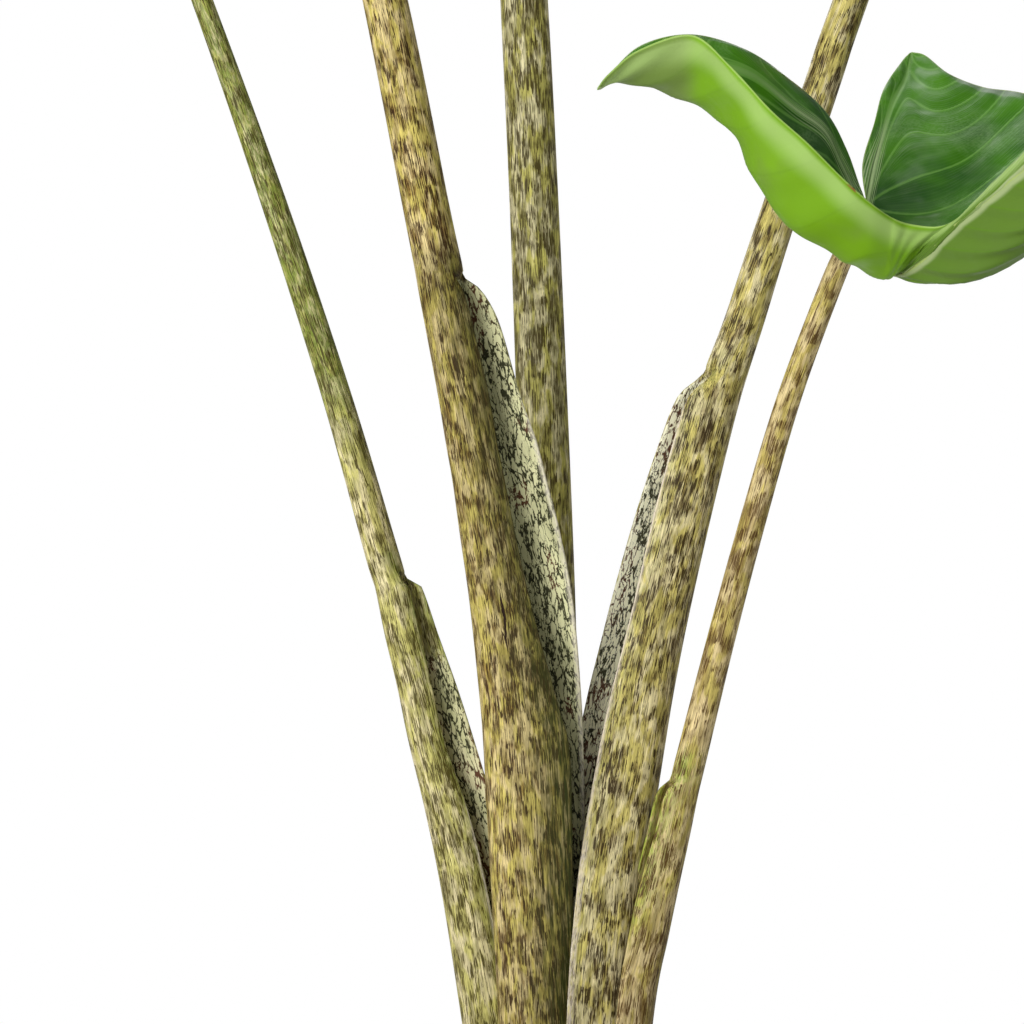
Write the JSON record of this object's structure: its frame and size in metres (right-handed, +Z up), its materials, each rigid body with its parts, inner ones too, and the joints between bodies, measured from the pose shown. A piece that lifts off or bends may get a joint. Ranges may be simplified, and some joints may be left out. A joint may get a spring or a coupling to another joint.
{
  "type": "potted plant",
  "caption": "Potted stingray alocasia: long mottled stalks with sheathing feet carry cupped, tailed blades over a filled nursery pot.",
  "frame": {"origin": "centre of the pot's underside", "axes": "+Z up, +X to the viewer's right, +Y away from the viewer"},
  "size_m": [0.7074, 0.5663, 0.8751],
  "materials": {
    "pot_plastic": "matte",
    "potting_soil": "matte",
    "stem_bark": "matte",
    "stalk": "satin",
    "green_stalk": "satin",
    "grey_stalk": "satin",
    "blade": "satin"
  },
  "bodies": {
    "root": {"pot": "pot_plastic", "soil": "potting_soil", "stem_base": "stem_bark", "stalk_1": "green_stalk", "stalk_2": "stalk", "stalk_3": "grey_stalk", "stalk_4": "stalk", "stalk_5": "stalk", "blade_1": "blade", "blade_2": "blade", "blade_3": "blade", "blade_4": "blade", "blade_5": "blade"}
  },
  "joints": []
}
